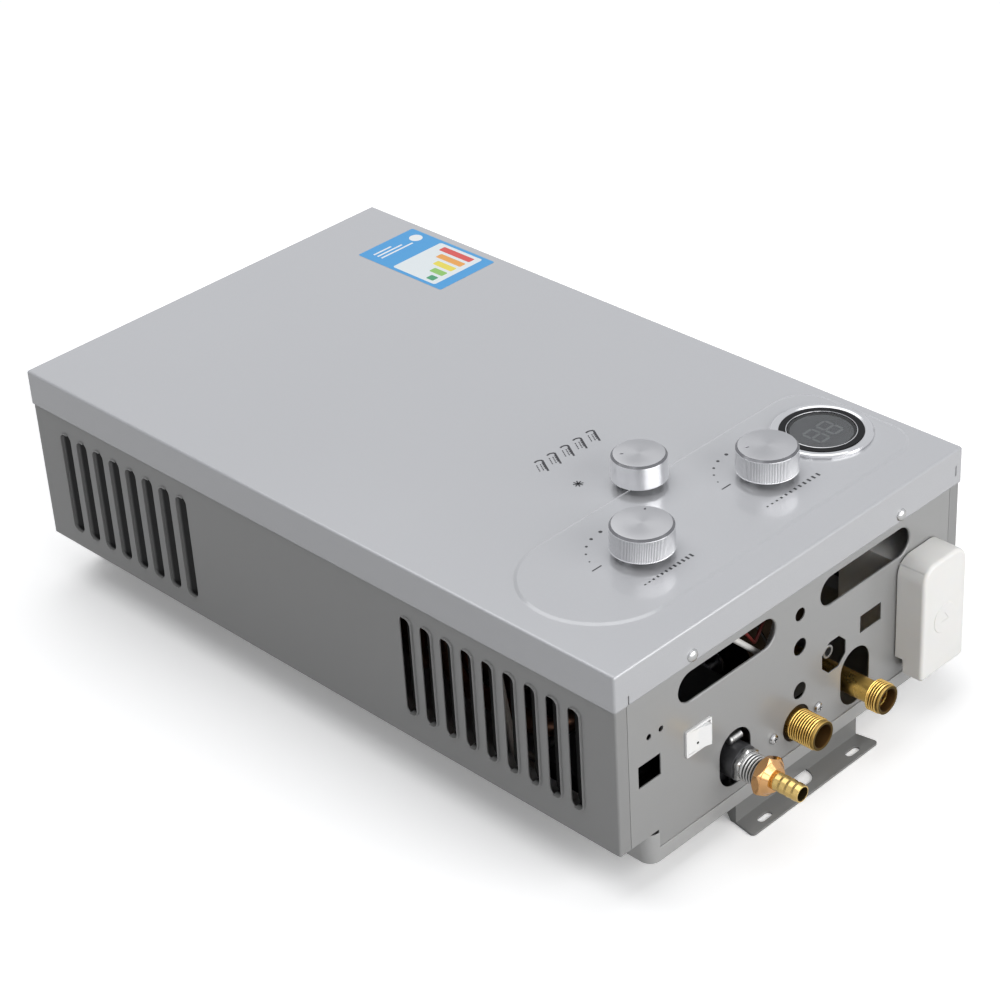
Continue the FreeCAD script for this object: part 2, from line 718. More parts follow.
def back_panel():
    z1 = skirt_z + 2 * sheet
    y0 = at(0.1)
    y1 = flue_y - 0.1
    outer = box(-tray_half, tray_half, y0, y1, tray_z, z1)
    outer = outer.makeFillet(tray_corner_r, edges_along(outer, V(0, 0, 1)))
    inner = box(-tray_half + sheet, tray_half - sheet, y0 + sheet, y1 - sheet, tray_floor, z1 + 1)
    inner = inner.makeFillet(tray_corner_r - sheet, edges_along(inner, V(0, 0, 1)))
    tray = less(outer, inner)
    window = tray_half - tray_corner_r - 0.2
    cutters = []
    for near, far in ((y0 - 1, y0 + 2), (y1 - 2, y1 + 1)):
        cutters.append(box(-window, window, near, far, tray_z + tray_lip_h, z1 + 1))
    for near, far in ((y0 - 1, at(tray_relief)), (flue_y - tray_relief, y1 + 1)):
        cutters.append(box(-half_w, half_w, near, far, skirt_z - tray_relief_gap, z1 + 1))
    tray = less(tray, *cutters)
    reach = half_w - tray_flange_gap
    flanges = []
    for x0, x1 in ((-reach, -tray_half + sheet), (tray_half - sheet, reach)):
        flanges.append(box(x0, x1, at(tray_relief), flue_y - tray_relief, skirt_z + sheet, z1))
    holes = [rod_z(x, y, chassis_screw_r + fit_clear, seat - 1, seat + 4)
             for x, y, seat in chassis_screw_places()]
    return less(merged(tray, *flanges), *holes)


def bracket_screw_places():
    """x and depth of the screws that hold a bracket to the tray."""
    return [(-bracket_half * 0.7, bracket_in * 0.66), (bracket_half * 0.7, bracket_in * 0.66)]


def chassis_screw_places():
    """x, y and seat of every screw that holds the tray to the side panels and the brackets."""
    places = []
    x = (tray_half + half_w - tray_flange_gap) / 2
    for depth in side_screw_depths():
        places.append((-x, at(depth), skirt_z))
        places.append((x, at(depth), skirt_z))
    for bx, depth in bracket_screw_places():
        places.append((bx, at(depth), tray_z - bracket_t))
        places.append((bx, flue_y - depth, tray_z - bracket_t))
    return places


def chassis_screws():
    return [pan_screw_up(x, y, seat, chassis_screw_head_r, chassis_screw_head_h, chassis_screw_r,
                         chassis_screw_l if seat == skirt_z else bracket_t + 3.0)
            for x, y, seat in chassis_screw_places()]


def lower_wall_bracket():
    y_out = at(-bracket_reach)
    plate = Part.makePolygon([V(-bracket_half, at(bracket_t), 0), V(-bracket_tip_half, y_out, 0),
                              V(bracket_tip_half, y_out, 0), V(bracket_half, at(bracket_t), 0),
                              V(-bracket_half, at(bracket_t), 0)])
    foot = Part.Face(plate).extrude(V(0, 0, bracket_t))
    corners = [e for e in edges_along(foot, V(0, 0, 1)) if abs(e.Vertexes[0].Y - y_out) < 1e-6]
    foot = foot.makeFillet(bracket_corner_r, corners)
    riser = box(-bracket_half, bracket_half, at(0), at(bracket_t), 0, tray_z)
    top = box(-bracket_half, bracket_half, at(0), at(bracket_in), tray_z - bracket_t, tray_z)
    cheeks = []
    for x in (-bracket_half, bracket_half - bracket_t):
        side = Part.makePolygon([V(x, at(0), 0), V(x, at(bracket_cheek * 0.35), 0),
                                 V(x, at(bracket_cheek), tray_z), V(x, at(0), tray_z), V(x, at(0), 0)])
        cheeks.append(Part.Face(side).extrude(V(bracket_t, 0, 0)))
    bracket = merged(foot, riser, top, *cheeks)
    notch_y = at(-bracket_notch_reach) + bracket_notch_r
    cutters = [rod_z(0, notch_y, bracket_notch_r, -1, bracket_t + 1),
               box(-bracket_notch_r, bracket_notch_r, notch_y, at(bracket_t) + 1, -1, tray_z - bracket_t)]
    for side in (-1, 1):
        x = side * bracket_slot_pitch / 2
        y = at(-bracket_slot_reach)
        r = bracket_slot_w / 2
        run = bracket_slot_l / 2 - r
        cutters.append(merged(box(x - run, x + run, y - r, y + r, -1, bracket_t + 1),
                              rod_z(x - run, y, r, -1, bracket_t + 1),
                              rod_z(x + run, y, r, -1, bracket_t + 1)))
    for x, depth in bracket_screw_places():
        cutters.append(rod_z(x, at(depth), chassis_screw_r + fit_clear, tray_z - bracket_t - 1, tray_z + 1))
    return less(bracket, *cutters)


def cover_screws():
    args = (lip_screw_head_r, lip_screw_head_h, lip_screw_shank_r, 8.0, False)
    screws = [pan_screw_y(x, lip_screw_z, end_y, 1, *args) for x in lip_screw_places()]
    return screws + [pan_screw_y(x, lip_screw_z, flue_y, -1, *args) for x in lip_screw_places()]


valve_screw_r = 2.0


def valve_screw_places():
    return [(valve_screw_shift + side * valve_screw_x, valve_screw_z) for side in (-1, 1)]


def valve_screws():
    return [pan_screw_y(x, z, at(face_depth), 1, 3.5, 2.4, valve_screw_r, 8.0, True)
            for x, z in valve_screw_places()]


# ---- water connections and pipes ---------------------------------------------------------------------
flange_t = 4.0
duct_r = 13.0
inlet_grip = 16.0
inlet_neck_r = thread_r - 0.4
cold_thread_end = 1.0          # the thread stops this far outside the casing


def cold_inlet_fitting():
    y0 = at(-cold_reach)
    y1 = at(-cold_thread_end)
    y2 = at(inlet_grip)
    return turned_y(0, cold_z, [(cold_bore_r, y0), (thread_r - 1, y0), (thread_r, y0 + 1), (thread_r, y1),
                                (inlet_neck_r, y1), (inlet_neck_r, y2), (cold_bore_r, y2)])


def hot_outlet_fitting():
    y0 = at(-hot_reach)
    y1 = y0 + hot_head_l
    return turned_y(hot_x, hot_z, [(hot_pipe_r, y0), (thread_r - 1, y0), (thread_r, y0 + 1),
                                   (thread_r, y1 - 1),
                                   (thread_r - 1, y1), (hot_pipe_r, y1)])


def hot_outlet_pipe():
    x = core_half + hot_run_out
    z = exchanger_tube_z()[-1]
    run_y = at((chamber_far + exchanger_far) / 2)
    cross_y = at(118.0)
    points = [V(core_half + core_wall + tube_stub + join_gap, run_y, z), V(x, run_y, z), V(x, run_y, hot_z),
              V(x, cross_y, hot_z), V(hot_x, cross_y, hot_z),
              V(hot_x, at(hot_pipe_sink - hot_reach), hot_z)]
    return bent_tube(points, coil_bend_r, hot_pipe_r, hot_pipe_r - hot_bore_r)


feed_x = 30.0
feed_z = 38.0
feed_boss_far = 88.0
feed_riser = 24.0              # end of the feed pipe above its long run
coil_run_out = 22.0            # from the coil to the pipe that leads it to the exchanger


def cold_feed_pipe():
    x = -coil_half()
    points = [V(feed_x, at(feed_boss_far), feed_z), V(feed_x, at(112.0), feed_z), V(x, at(112.0), feed_z),
              V(x, at(coil_near), feed_z), V(x, at(coil_near), feed_z + feed_riser)]
    return bent_tube(points, coil_bend_r, tube_r, tube_wall)


def coil_half():
    """Half width of the water coil's centre line."""
    return core_half + tube_r + coil_clear


def water_coil():
    half = coil_half()
    low = core_z0 - tube_r - coil_clear
    high = core_z1 + tube_r + coil_clear
    span = chamber_far - 10.0 - coil_near
    corners = [(-half, high), (half, high), (half, low), (-half, low)] * coil_turns
    step = span / (len(corners) - 1)
    depth = coil_near - step
    points = [V(-half, at(coil_near), feed_z + feed_riser + join_gap)]
    for x, z in corners:
        depth += step
        points.append(V(x, at(depth), z))
    run_y = at((chamber_far + exchanger_far) / 2)
    z = exchanger_tube_z()[0]
    stub = core_half + core_wall + tube_stub + join_gap
    points[-1] = V(-half - coil_run_out, at(depth), low)
    points += [V(-half - coil_run_out, run_y, z), V(-stub, run_y, z)]
    return bent_tube(points, coil_bend_r * 0.6, tube_r, tube_wall)


tube_stub = 1.0


def exchanger_tube_z():
    return [core_z0 + tube_inset + i * tube_pitch for i in range(tube_count)]


def exchanger_tubes():
    """One tube that crosses the exchanger five times, with return bends outside it."""
    y = at((chamber_far + exchanger_far) / 2)
    end = core_half + core_wall + tube_stub
    levels = exchanger_tube_z()
    edges = []
    side = -1
    for i, z in enumerate(levels):
        start = V(side * end, y, z)
        finish = V(-side * end, y, z)
        edges.append(Part.LineSegment(start, finish).toShape())
        side = -side
        if i + 1 < len(levels):
            above = V(side * end, y, levels[i + 1])
            bulge = V(side * (end + tube_pitch / 2), y, (z + levels[i + 1]) / 2)
            edges.append(Part.Arc(finish, bulge, above).toShape())
    path = Part.Wire(edges)
    solids = []
    for r in (tube_r, tube_r - tube_wall):
        profile = Part.Wire([Part.makeCircle(r, V(-end, y, levels[0]), V(1, 0, 0))])
        solids.append(path.makePipeShell([profile], True, False))
    return less(*solids)


def exchanger_shell():
    y0 = at(chamber_far + join_gap)
    y1 = at(exchanger_far)
    half = core_half + core_wall
    outer = box(-half, half, y0, y1, core_z0, core_z1)
    inner = box(-core_half, core_half, y0 - 1, y1 + 1, core_z0 + core_wall, core_z1 - core_wall)
    y = (at(chamber_far) + at(exchanger_far)) / 2
    holes = [rod_x(y, z, tube_r + join_gap / 2, -half - 1, half + 1) for z in exchanger_tube_z()]
    return less(outer, inner, *holes)


def exchanger_fins():
    y0 = at(chamber_far + 4)
    y1 = at(exchanger_far - 4)
    y = (y0 + y1) / 2
    count = int((2 * core_half - 2) / fin_pitch)
    fin = box(0, fin_t, y0, y1, core_z0 + core_wall, core_z1 - core_wall)
    fin = less(fin, *[rod_x(y, z, tube_r + join_gap / 2, -1, fin_t + 1) for z in exchanger_tube_z()])
    fins = []
    for i in range(count):
        copy = fin.copy()
        copy.translate(V((i - (count - 1) / 2) * fin_pitch - fin_t / 2, 0, 0))
        fins.append(copy)
    return fins


def electrode_places():
    return [-20.0, 20.0]


electrode_r = 3.2
electrode_h = 8.0              # ceramic above the chamber
electrode_depth = 188.0


def combustion_chamber():
    y0 = at(burner_far + join_gap)
    y1 = at(chamber_far)
    outer = rounded_y(-core_half, core_half, core_z0, core_z1, chamber_corner_r, y0, y1)
    inner = rounded_y(-core_half + 1, core_half - 1, core_z0 + 1, core_z1 - 1, chamber_corner_r - 1,
                      y0 - 1, y1 + 1)
    holes = [rod_z(x, at(electrode_depth), electrode_r + 0.1, core_z1 - 3, core_z1 + 1)
             for x in electrode_places()]
    return less(outer, inner, *holes)


def flue_hood():
    """Sheet hood that gathers the flue gas from the exchanger and hands it to the round collar."""
    def section(half, z0, z1, y):
        return Part.makePolygon([V(-half, y, z0), V(half, y, z0), V(half, y, z1), V(-half, y, z1),
                                 V(-half, y, z0)])

    y0 = at(exchanger_far + join_gap)
    y2 = flue_y - hood_margin
    y1 = y0 + (y2 - y0) * 0.45
    wide = core_half + core_wall
    skin = []
    for t in (0.0, sheet):
        low = collar_z - hood_half + t
        high = collar_z + hood_half - t
        straight = box(-wide + t, wide - t, y0 - t, y1, core_z0 + t, core_z1 - t)
        taper = Part.makeLoft([section(wide - t, core_z0 + t, core_z1 - t, y1),
                               section(hood_half - t, low, high, y2 - t)], True, True)
        skin.append(merged(straight, taper))
    port = rod_y(0, collar_z, collar_r - collar_neck + join_gap, y2 - 2, y2 + 2)
    return less(skin[0], skin[1], port)


def flue_collar():
    y0 = flue_y - hood_margin - 2.5
    y1 = flue_y + collar_reach
    y2 = flue_y + spigot_start
    seat = flue_y - face_depth
    neck_r = collar_r - collar_neck
    neck = rod_y(0, collar_z, neck_r, y0, y1)
    spigot = rod_y(0, collar_z, collar_r, y2, y1)
    flange = rod_y(0, collar_z, collar_flange_r, seat, seat + collar_t)
    flange = less(flange, box(-half_w, half_w, seat - 1, y2, lip_z - lap_gap, cover_top))
    return less(merged(neck, spigot, flange), rod_y(0, collar_z, neck_r - collar_t, y0 - 1, y1 + 1),
                rod_y(0, collar_z, collar_r - collar_t, y2 + collar_t, y1 + 1))


# ---- burner and gas train ----------------------------------------------------------------------------
def bar_pitch():
    return 2 * (core_half - 2) / burner_bar_count


def burner_frame():
    y0 = at(burner_near)
    y1 = at(burner_far)
    outer = box(-core_half + 2, core_half - 2, y0, y1, core_z0 + 1, core_z1 - 1)
    return less(outer, box(-core_half + 3, core_half - 3, y0 - 1, y1 + 1, core_z0 + 2, core_z1 - 2))


def burner_bars():
    """Flat stainless bars with slotted flame ports."""
    z0 = core_z0 + 2
    z1 = core_z1 - 2
    y0 = at(burner_near + 4)
    y1 = at(burner_far - 2)
    bar = box(-burner_bar_w / 2, burner_bar_w / 2, y0, y1, z0, z1)
    rim = [e for e in edges_along(bar, V(0, 0, 1)) if abs(e.Vertexes[0].Y - y1) < 1e-6]
    bar = bar.makeFillet(burner_bar_w * 0.3, rim)
    ports = 10
    step = (z1 - z0 - 12) / (ports - 1)
    slots = [box(-burner_bar_w, burner_bar_w, y1 - 6, y1 + 1, z0 + 6 + i * step - 0.8,
                 z0 + 6 + i * step + 0.8)
             for i in range(ports)]
    throat_z = (manifold_z0 + manifold_z1) / 2
    bar = less(bar, rod_y(0, throat_z, nozzle_r + 1.5, y0 - 1, y0 + 12), *slots)
    bars = []
    for i in range(burner_bar_count):
        copy = bar.copy()
        copy.translate(V((i - (burner_bar_count - 1) / 2) * bar_pitch(), 0, 0))
        bars.append(copy)
    return bars


def mounting_stands():
    """Hat-section stands under the burner and the heat exchanger."""
    stands = []
    for near, far, top in ((burner_near + 4, burner_far - 4, core_z0 + 1),
                           (chamber_far + 15, exchanger_far - 10, core_z0)):
        y0 = at(near)
        y1 = at(far)
        deck = box(-stand_half, stand_half, y0, y1, top - 1, top)
        legs = [box(-stand_half, -stand_half + 1, y0, y1, tray_floor, top),
                box(stand_half - 1, stand_half, y0, y1, tray_floor, top)]
        feet = [box(-stand_half - 12, -stand_half + 1, y0, y1, tray_floor, tray_floor + 1),
                box(stand_half - 1, stand_half + 12, y0, y1, tray_floor, tray_floor + 1)]
        stands.append(merged(deck, *legs, *feet))
    return stands


def gas_manifold():
    """Cast distribution pipe with the season valve's tower and the inlet from the gas valve."""
    half = core_half - 8
    pipe = box(-half, half, at(manifold_near), at(manifold_far), manifold_z0, manifold_z1)
    pipe = pipe.makeFillet(4, edges_along(pipe, V(1, 0, 0)))
    hub = rod_z(0, at(season_depth), tower_r + 2, manifold_z0 - 4, gland_z - 14)
    gland = rod_z(0, at(season_depth), gland_r, gland_z - 14, gland_z)
    duct = box(-knob_pitch - 12, -knob_pitch + 12, at(gas_block_far), at(manifold_near + 1),
               manifold_z0 + 2,
               manifold_z1 - 4)
    feet = [box(x - 6, x + 6, at(manifold_near + 3), at(manifold_far - 3), tray_floor, manifold_z0 + 1)
            for x in (-half + 8, half - 8)]
    bore = rod_z(0, at(season_depth), spindle_r + spindle_clear, gland_z - gland_depth, gland_z + 1)
    return less(merged(pipe, hub, gland, duct, *feet), bore)


def gas_nozzles():
    z = (manifold_z0 + manifold_z1) / 2
    y = at(manifold_far)
    nozzles = []
    for i in range(burner_bar_count):
        x = (i - (burner_bar_count - 1) / 2) * bar_pitch()
        nozzles.append(turned_y(x, z, [(0.6, y), (nozzle_r + 1, y), (nozzle_r + 1, y + 3),
                                       (nozzle_r - 1, y + 3),
                                       (nozzle_r - 1.6, y + 10), (0.6, y + 10)]))
    return nozzles


def gas_valve_body():
    x0 = -knob_pitch - gas_block_half
    x1 = -knob_pitch + gas_block_half
    block = box(x0, x1, at(gas_block_near), at(gas_block_far), gas_block_z0, gas_block_z1)
    block = block.makeFillet(4, edges_along(block, V(0, 0, 1)) + edges_along(block, V(0, 1, 0)))
    nose = rod_y(gas_x, gas_z, gas_boss_r, at(-gas_boss_reach), at(gas_block_near + 1))
    tower = rod_z(-knob_pitch, at(knob_depth), tower_r, gas_block_z1 - 1, gland_z - 14)
    gland = rod_z(-knob_pitch, at(knob_depth), gland_r, gland_z - 14, gland_z)
    arm = rod_x(at(valve_axis_depth), valve_axis_z, gas_flange_r, x1 - 2, gas_flange_x)
    foot = box(x0 + 8, x1 - 8, at(gas_block_near + 24), at(gas_block_far - 24), tray_floor,
               gas_block_z0 + 1)
    cutters = [rod_z(-knob_pitch, at(knob_depth), spindle_r + spindle_clear, gland_z - gland_depth,
                     gland_z + 1),
               rod_y(gas_x, gas_z, nipple_grip_r() + fit_clear, at(-gas_boss_reach) - 1,
                     at(nipple_in)),
               rod_x(at(valve_axis_depth), valve_axis_z, rod_r + rod_clear, poppet_x() - 1,
                     gas_flange_x + 1),
               rod_x(at(valve_axis_depth), valve_axis_z, poppet_r + 1.5, poppet_x() - rod_travel - 2,
                     poppet_x() + poppet_t + 1)]
    return less(merged(block, nose, tower, gland, arm, foot), *cutters)


def poppet_x():
    return gas_flange_x - 14.0


nipple_in = 20.0
nipple_bore_r = 5.0


def nipple_grip_r():
    return gas_thread_r - 1.0


def gas_inlet_nipple():
    """Steel nipple: grip in the valve, hexagon collar, thread for the union nut."""
    x = gas_x
    y0 = at(-gas_thread_reach)
    y1 = at(-gas_boss_reach)
    y2 = at(nipple_in)
    core = turned_y(x, gas_z, [(nipple_bore_r, y0), (gas_thread_r - 1, y0), (gas_thread_r, y0 + 1),
                               (gas_thread_r, y1),
                               (nipple_grip_r(), y1), (nipple_grip_r(), y2), (nipple_bore_r, y2)])
    collar = hex_nut(x, gas_z, nut_flats, y1 - nut_l, y1, nipple_bore_r)
    return merged(core, collar)


def gas_union_nut():
    """Union nut with a turned cone in front of its flats; it holds the hose tail on the nipple."""
    x = gas_x
    bore_r = barb_root_r + 0.1
    flats = hex_nut(x, gas_z, union_flats, at(-union_hex_reach), at(-union_from), bore_r)
    cone = turned_y(x, gas_z, [(bore_r, at(-union_reach)), (union_end_r, at(-union_reach)),
                               (union_flats / 2 - 0.6, at(-union_hex_reach)),
                               (union_flats / 2 - 0.6, at(-union_hex_reach) + 1),
                               (bore_r, at(-union_hex_reach) + 1)])
    seats = [rod_y(x, gas_z, gas_thread_r + 0.05, at(-gas_thread_reach - 0.2), at(-union_from) + 1),
             rod_y(x, gas_z, tail_flange_r + 0.1, at(-gas_thread_reach - tail_flange_t - 0.2),
                   at(-gas_thread_reach) + 1)]
    return less(merged(flats, cone), *seats)


tail_flange_r = 7.9
tail_flange_t = 2.5


def hose_barb():
    """Hose tail with four barbs and a flange that the union nut grips."""
    x = gas_x
    y_flange = at(-gas_thread_reach - tail_flange_t)
    start = at(-union_reach)
    step = (barb_reach - union_reach) / barb_count
    profile = [(barb_bore_r, at(-gas_thread_reach)), (tail_flange_r, at(-gas_thread_reach)),
               (tail_flange_r, y_flange), (barb_root_r, y_flange)]
    for i in range(barb_count):
        y = start - i * step
        profile += [(barb_root_r, y), (barb_r, y - 0.2), (barb_r, y - 0.2 - barb_land),
                    (barb_root_r, y - step)]
    profile += [(barb_bore_r, at(-barb_reach))]
    return turned_y(x, gas_z, profile)


# ---- water valve -------------------------------------------------------------------------------------
def water_valve_body():
    """Brass casting: flange, inlet duct and the inlet half of the diaphragm housing."""
    y0 = at(back_depth)
    y1 = y0 + flange_t
    x0 = valve_screw_shift - valve_screw_x - 8
    x1 = valve_screw_shift + valve_screw_x + 8
    flange = rounded_y(x0, x1, cold_z - 14, cold_z + 14, 4, y0, y1)
    duct = rod_y(0, cold_z, duct_r, y0, at(42.0))
    neck = box(water_disc_x0, water_disc_x1, at(34.0), at(valve_axis_depth), cold_z - 10, valve_axis_z)
    disc = rod_x(at(valve_axis_depth), valve_axis_z, water_disc_r, water_disc_x0, water_disc_x1)
    foot = box(water_disc_x0, water_disc_x1, at(valve_axis_depth - 8), at(valve_axis_depth + 8),
               tray_floor, cold_z)
    cutters = [rod_y(0, cold_z, inlet_neck_r + fit_clear, y0 - 1, at(inlet_grip)),
               rod_y(0, cold_z, cold_bore_r, y0, at(36.0)),
               rod_x(at(valve_axis_depth), valve_axis_z, water_cavity_r, water_disc_x0 + 4,
                     water_disc_x1 + 1),
               rod_x(at(valve_axis_depth), valve_axis_z, rod_r + rod_clear, water_disc_x0 - 1,
                     water_disc_x1)]
    for x, z in valve_screw_places():
        cutters.append(rod_y(x, z, valve_screw_r + fit_clear, y0 - 1, at(face_depth + 8.2)))
    return less(merged(flange, duct, neck, disc, foot), *cutters)


def diaphragm():
    return rod_x(at(valve_axis_depth), valve_axis_z, water_disc_r - 0.5, water_disc_x1,
                 water_disc_x1 + diaphragm_t)


def water_valve_cover():
    """Outlet half of the diaphragm housing with the water regulator's tower and the feed outlet."""
    x0 = water_disc_x1 + diaphragm_t
    disc = rod_x(at(valve_axis_depth), valve_axis_z, water_disc_r, x0, water_cover_x1)
    block = box(water_cover_x1 - 1, regulator_x1, at(regulator_near), at(regulator_far), regulator_z0,
                regulator_z1)
    block = block.makeFillet(3, edges_along(block, V(0, 0, 1)))
    tower = rod_z(knob_pitch, at(knob_depth), tower_r, regulator_z1 - 1, gland_z - 14)
    gland = rod_z(knob_pitch, at(knob_depth), gland_r, gland_z - 14, gland_z)
    outlet = rod_y(feed_x, feed_z, tube_r + 3, at(regulator_near + 14), at(feed_boss_far + 6))
    web = box(feed_x - 6, feed_x + 6, at(regulator_near + 14), at(regulator_far - 6), feed_z,
              regulator_z0 + 1)
    cutters = [rod_z(knob_pitch, at(knob_depth), spindle_r + spindle_clear, gland_z - gland_depth,
                     gland_z + 1),
               rod_y(feed_x, feed_z, tube_r + 0.1, at(feed_boss_far - 0.1), at(feed_boss_far + 7)),
               rod_y(feed_x, feed_z, tube_r - tube_wall, at(regulator_near + 20), at(feed_boss_far))]
    return less(merged(disc, block, tower, gland, outlet, web), *cutters)


def push_rod():
    """Rod with the diaphragm plate at one end and the collar that works the microswitch."""
    y = at(valve_axis_depth)
    plate_x1 = water_disc_x1 - 0.3
    shaft = rod_x(y, valve_axis_z, rod_r, poppet_x() + poppet_t, plate_x1 - plate_t)
    plate = rod_x(y, valve_axis_z, plate_r, plate_x1 - plate_t, plate_x1)
    collar = rod_x(y, valve_axis_z, collar_on_rod_r, collar_x() - collar_on_rod_t, collar_x())
    return merged(shaft, plate, collar)


def collar_x():
    return water_disc_x0 - 1.5


def gas_poppet():
    y = at(valve_axis_depth)
    return rod_x(y, valve_axis_z, poppet_r, poppet_x(), poppet_x() + poppet_t)


def lever_x():
    return collar_x() - collar_on_rod_t - 0.3


def microswitch():
    """Switch body beside the rod, with a forked ear for the lever's pin, on a foot from the tray."""
    x1 = lever_x() - lever_t - 3.0
    x0 = x1 - 9.0
    y0 = at(lever_depth - 5)
    y1 = at(lever_depth + 15)
    body = box(x0, x1, y0, y1, lever_z0 - 6, lever_z1 + 6)
    ears = [box(x1 - 1, lever_x() + 1.5, at(lever_depth - 2), at(lever_depth + 2), lever_z0 - 3,
                lever_z0 - 0.4),
            box(x1 - 1, lever_x() + 1.5, at(lever_depth - 2), at(lever_depth + 2), lever_z1 + 0.4,
                lever_z1 + 3)]
    foot = box(x0 + 1, x1 - 1, y0 + 8, y1, tray_floor, lever_z0)
    pin_hole = rod_z(lever_x() - lever_t / 2, at(lever_depth), 0.7, lever_z0 - 4, lever_z1 + 4)
    return less(merged(body, *ears, foot), pin_hole)


def microswitch_lever():
    """Leaf lever that the rod's collar pushes, with its pin."""
    x = lever_x()
    leaf = box(x - lever_t, x, at(lever_depth - 26), at(lever_depth), lever_z0, lever_z1)
    pin = rod_z(x - lever_t / 2, at(lever_depth), 0.62, lever_z0 - 2.8, lever_z1 + 2.8)
    knuckle = rod_z(x - lever_t / 2, at(lever_depth), 1.2, lever_z0, lever_z1)
    return merged(leaf, pin, knuckle)


def drain_port():
    """Steel threaded port behind the eight-sided hole, screwed into the water regulator."""
    return turned_y(drain_x, drain_z, [(drain_bore_r, at(drain_near)), (drain_port_r, at(drain_near)),
                                       (drain_port_r, at(regulator_near)),
                                       (drain_bore_r, at(regulator_near))])


# ---- ignition, leads and switches --------------------------------------------------------------------
igniter_edge = 17.0            # from the side of the cover to the igniter
igniter_w = 32.0
igniter_near = 30.0
igniter_far = 95.0
igniter_z1 = 46.0


def igniter_x():
    return igniter_edge - half_w + tray_inset - 12.0


def pulse_igniter():
    x0 = igniter_x()
    x1 = x0 + igniter_w
    case = box(x0, x1, at(igniter_near), at(igniter_far), tray_floor, igniter_z1)
    case = case.makeFillet(2, edges_along(case, V(0, 0, 1)))
    sockets = [box(x0 + 5 + i * 9, x0 + 11 + i * 9, at(igniter_near + 3), at(igniter_near + 10),
                   igniter_z1 - 1,
                   igniter_z1 + 4) for i in range(3)]
    return merged(case, *sockets)


def ignition_electrodes():
    """Spark electrode and flame sensor: a ceramic each, with a bent wire below it."""
    y = at(electrode_depth)
    pieces = []
    for x in electrode_places():
        ceramic = merged(rod_z(x, y, electrode_r, core_z1 - 14, core_z1 + electrode_h),
                         rod_z(x, y, electrode_r + 1.5, core_z1, core_z1 + 2))
        wire = bent_bar([V(x, y, core_z1 - 13), V(x, y, core_z1 - 30), V(x, y + 14, core_z1 - 38)], 5.0,
                        0.8)
        pieces.append(merged(ceramic, wire))
    return pieces


lead_r = 1.8
lead_z = 150.0


def ignition_leads():
    """Silicone leads from the igniter to the two ceramics, held along the left side."""
    leads = []
    for i, x in enumerate(electrode_places()):
        off = (1 - i) * 6.0
        x0 = igniter_x() + 8 + off
        y_end = at(electrode_depth)
        z = lead_z + off * 0.5
        points = [V(x0, at(igniter_far), tray_floor + 12),
                  V(x0, at(igniter_far + 30) + off, tray_floor + 12),
                  V(x0, at(igniter_far + 52) + off, z), V(x, at(igniter_far + 60) + off, z),
                  V(x, y_end, z), V(x, y_end, core_z1 + electrode_h)]
        leads.append(bent_bar(points, 5.0, lead_r))
    return leads


panel_lead_r = [2.0, 1.1]      # white and red


def panel_leads():
    """White and red leads from the igniter's sockets up behind the air slot to the display."""
    leads = []
    z0 = igniter_z1 + 4
    y_end = at(display_depth) - display_body_r
    z_end = raise_under - display_body_h / 2
    for i in range(2):
        x0 = igniter_x() + 8 + i * 9
        y0 = at(igniter_near + 6.5)
        near = at(12.0 + i * 3.0)
        points = [V(x0, y0, z0), V(x0, y0, z0 + 50), V(-60.0 + 16 * i, near, 140.0 - i),
                  V(-14.0 - 7.5 * i, near, 94.1 + 13 * i), V(14.0 + 4 * i, near + 7 + 3 * i, 141.0 + 3 * i),
                  V(display_x + 3 - 6 * i, y_end - 21 + 5 * i, z_end),
                  V(display_x + 3 - 6 * i, y_end, z_end)]
        leads.append(bent_bar(points, 8.0, panel_lead_r[i]))
    return leads


def overheat_thermostat():
    y = at((chamber_far + exchanger_far) / 2)
    x = core_half * 0.5
    body = merged(rod_z(x, y, 8.0, core_z1, core_z1 + 6), rod_z(x, y, 11.0, core_z1, core_z1 + 1.2))
    blades = [box(x - 4.5 + 6 * i, x - 1.5 + 6 * i, y - 0.4, y + 0.4, core_z1 + 5, core_z1 + 13)
              for i in range(2)]
    return merged(body, *blades)


# ---- battery box -------------------------------------------------------------------------------------
def case_section(grow):
    """x and z limits of the cells' space, grown by a wall."""
    half_x = case_half_w - battery_wall + grow
    half_z = case_half_h - battery_wall + grow
    return battery_x - half_x, battery_x + half_x, battery_z - half_z, battery_z + half_z


def battery_case():
    x0, x1, z0, z1 = case_section(battery_wall)
    y0 = at(battery_near)
    y1 = at(battery_near + cell_l + 6.0)
    case = box(x0, x1, y0, y1, z0, z1)
    flange = rounded_y(battery_x - lid_w / 2 + lid_wall, battery_x + lid_w / 2 - lid_wall,
                       lid_z0 + lid_below, lid_z1 - lid_wall, lid_corner_r - lid_wall, at(0), at(face_depth))
    cx0, cx1, cz0, cz1 = case_section(0)
    space = box(cx0, cx1, y0 - 1, y1 - battery_wall, cz0, cz1)
    return less(merged(case, flange), space)


def cell_places():
    return [battery_z - cell_pitch / 2, battery_z + cell_pitch / 2]


def battery_cells():
    y0 = at(battery_near + 1.0)
    y1 = y0 + cell_l
    cells = []
    for i, z in enumerate(cell_places()):
        nub = (5.0, 1.5)
        if i == 0:
            profile = [(0, y0), (cell_r - 2, y0), (cell_r, y0 + 1), (cell_r, y1 - 2),
                       (cell_r - 1, y1 - nub[1]),
                       (nub[0], y1 - nub[1]), (nub[0], y1), (0, y1)]
        else:
            profile = [(0, y0), (nub[0], y0), (nub[0], y0 + nub[1]), (cell_r - 1, y0 + nub[1]),
                       (cell_r, y0 + 2),
                       (cell_r, y1 - 1), (cell_r - 2, y1), (0, y1)]
        cells.append(turned_y(battery_x, z, profile))
    return cells


